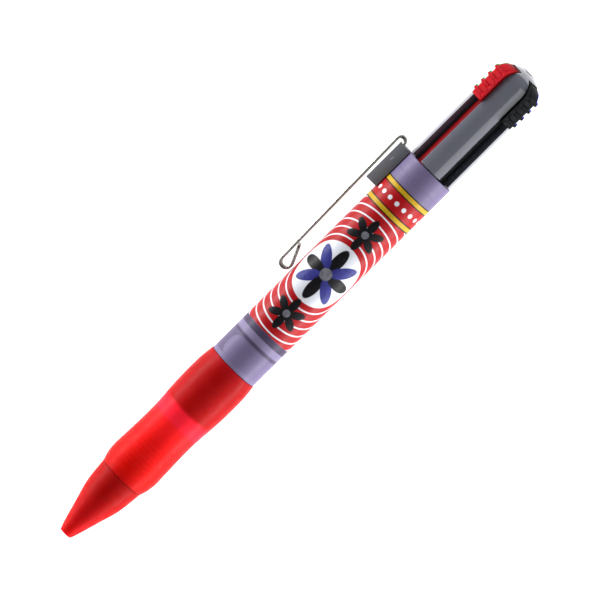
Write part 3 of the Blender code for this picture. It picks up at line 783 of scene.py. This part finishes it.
def build_spring(name, angle, material):
    front, rear, radius, wire_radius, turns = 82.3, 105.7, 1.5, 0.15, 17
    closed_pitch, closed_turns = 0.32, 1.5
    length = rear - front - closed_pitch
    per_turn = 20
    points = []
    for i in range(turns * per_turn + 1):
        turn = i / per_turn
        if turn < closed_turns:
            x = turn * closed_pitch
        elif turn > turns - closed_turns:
            x = length - (turns - turn) * closed_pitch
        else:
            share = (turn - closed_turns) / (turns - 2 * closed_turns)
            x = closed_turns * closed_pitch + share * (length - 2 * closed_turns * closed_pitch)
        a = math.tau * turn
        points.append((front + closed_pitch / 2 + x, 2.63 + radius * math.cos(a),
                       radius * math.sin(a)))
    mesh = to_pen(tube_along("coil", points, wire_radius, 8, 1), angle)
    piece = add_piece(f"spring_{name}_coil", mesh, "barrel", material, [f"spring_{name}"])
    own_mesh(piece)


def build_refill(name, angle, tube_material, tip_material, ball_material):
    pivot = (104.0, REFILL_OFFSET, 0.0)
    front, rear = -REFILL + 8.3, -REFILL + 12.0
    outline = [(front, 0.6), (front, 0.7), (front + 0.1, 0.75), (front + 1.2, 0.77),
               (rear - 0.3, 1.0), (rear, 1.05), (1.6, 1.05), (1.7, 1.0), (1.7, 0.78),
               (rear + 1.0, 0.78), (rear, 0.6)]
    tube = to_pen(lathe("tube", outline, 40), angle, pivot, LEAN)
    tip_front = -REFILL + 0.27
    outline = [(tip_front + 0.27, 0.0), (tip_front, 0.24), (tip_front, 0.3),
               (tip_front + 0.06, 0.32), (tip_front + 0.8, 0.38), (tip_front + 3.0, 0.42),
               (-REFILL + 10.5, 0.42), (-REFILL + 10.5, 0.0)]
    tip = to_pen(lathe("tip", outline, 32), angle, pivot, LEAN)
    centre = (-REFILL + 0.22, 0.0)
    outline = [(x, 0.0 if r < 1e-6 else r) for x, r in arc(centre, 0.22, 180.0, 0.0, 12)]
    ball = to_pen(lathe("ball", outline, 24), angle, pivot, LEAN)
    body = f"refill_{name}"
    add_piece(f"ink_tube_{name}", tube, body, tube_material, [f"refill_tube_{name}"])
    add_piece(f"needle_{name}", tip, body, tip_material, [f"refill_tip_{name}"])
    add_piece(f"ball_{name}", ball, body, ball_material, [f"writing_ball_{name}"])


# ---------------------------------------------------------------- scene

def build_object():
    nose = red_shell("nose_plastic", NOSE_TINTS_LIGHT_AND_SHADE, 0.5, 0.4, 0.7)
    grip = red_shell("grip_plastic", GRIP_TINTS_LIGHT_AND_SHADE, 0.42, 0.3, 0.15, RING_SHADE_SPAN)
    grey = moulded("upper_plastic", (0.145, 0.15, 0.185), 0.14, 0.05, 1.0, ior=1.65)
    block = block_plastic()
    barrel = moulded("barrel_plastic", PURPLE, 0.42, 0.06, specular=0.25)
    white = moulded("inner_plastic", (0.7, 0.7, 0.67), 0.5, 0.05)
    core = moulded("core_plastic", (0.12, 0.12, 0.13), 0.5, 0.06)
    chrome = metal("clip_steel", (0.34, 0.33, 0.31), 0.3)
    spring = metal("spring_steel", (0.5, 0.5, 0.5), 0.28)
    brass = metal("tip_metal", (0.66, 0.58, 0.42), 0.22)
    ball = metal("ball_metal", (0.35, 0.35, 0.37), 0.12)
    build_nose(nose)
    build_grip(grip)
    build_barrel(barrel, printed_film())
    build_upper_barrel(grey)
    build_end_plug(grey)
    build_clip_block(block)
    build_wire_clip(chrome)
    for name, angle in COLOUR_ANGLES.items():
        build_slider(name, angle, slider_plastic(f"slider_{name}", COLOURS[name]))
        build_spring(name, angle, spring)
        tint = moulded(f"ink_{name}", COLOURS[name], 0.3, 0.1, 0.3)
        build_refill(name, angle, tint, brass, ball)
    for node, surface in (("guide_ring", white), ("spring_seat", white), ("guide_core", core)):
        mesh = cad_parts[node].data
        mesh.materials.clear()
        mesh.materials.append(surface)


def area_light(name, place, target, size, power):
    data = bpy.data.lights.new(name, "AREA")
    data.shape = "RECTANGLE"
    data.size, data.size_y = size
    data.energy = power
    light = bpy.data.objects.new(name, data)
    bpy.context.scene.collection.objects.link(light)
    light.location = place
    light.rotation_euler = (target - place).to_track_quat("-Z", "Y").to_euler()


def build_stage():
    bm = bmesh.new()
    bmesh.ops.create_grid(bm, x_segments=4, y_segments=4, size=3.0)
    mesh = bpy.data.meshes.new("floor")
    bm.to_mesh(mesh)
    bm.free()
    floor = bpy.data.objects.new("floor", mesh)
    bpy.context.scene.collection.objects.link(floor)
    made = Shader("floor_paper")
    made.set(Base_Color=varied(made, (0.9, 0.9, 0.9), 0.01, 3.0), Roughness=0.8)
    made.set(Emission_Color=(1.0, 1.0, 1.0, 1.0), Emission_Strength=0.92)
    mesh.materials.append(made.material)
    floor.location.z = -0.0002
    world = bpy.data.worlds.new("studio")
    world.use_nodes = True
    background = world.node_tree.nodes["Background"]
    background.inputs["Color"].default_value = (1.0, 1.0, 1.0, 1.0)
    background.inputs["Strength"].default_value = 0.06
    bpy.context.scene.world = world
    bpy.context.scene.view_settings.view_transform = "Standard"
    middle = AXIS + Vector((LENGTH / 2, 0, 0))
    for name, side in (("clip_side_light", 1), ("open_side_light", -1)):
        place = middle + Vector((0, side * 0.5, 0.09))
        area_light(name, place, middle, (0.9, 0.14), 6.0)
    overhead = middle + Vector((0, -0.39, 0.456))
    area_light("overhead_light", overhead, middle, (1.0, 0.378), 1.25)


def build_camera():
    """Looks down on the pen, a little from its domed end, with the pen rising to the right."""
    middle = AXIS + Vector((LENGTH / 2 + AIM[0] * MM, AIM[1] * MM, 0))
    data = bpy.data.cameras.new("photo_camera")
    data.sensor_width = SENSOR
    data.lens = SENSOR * CAMERA_DISTANCE / (IMAGE_SIDE * PIXEL_SCALE * MM)
    camera = bpy.data.objects.new("photo_camera", data)
    bpy.context.scene.collection.objects.link(camera)
    tilt = Matrix.Rotation(math.radians(TILT), 4, "Y")
    roll = Matrix.Rotation(math.radians(-AXIS_ANGLE), 4, "Z")
    look = Matrix.Translation(middle) @ tilt @ roll
    camera.matrix_world = look @ Matrix.Translation((0, 0, CAMERA_DISTANCE))
    data.clip_start = 0.01
    bpy.context.scene.camera = camera


build_object()
build_stage()
build_camera()
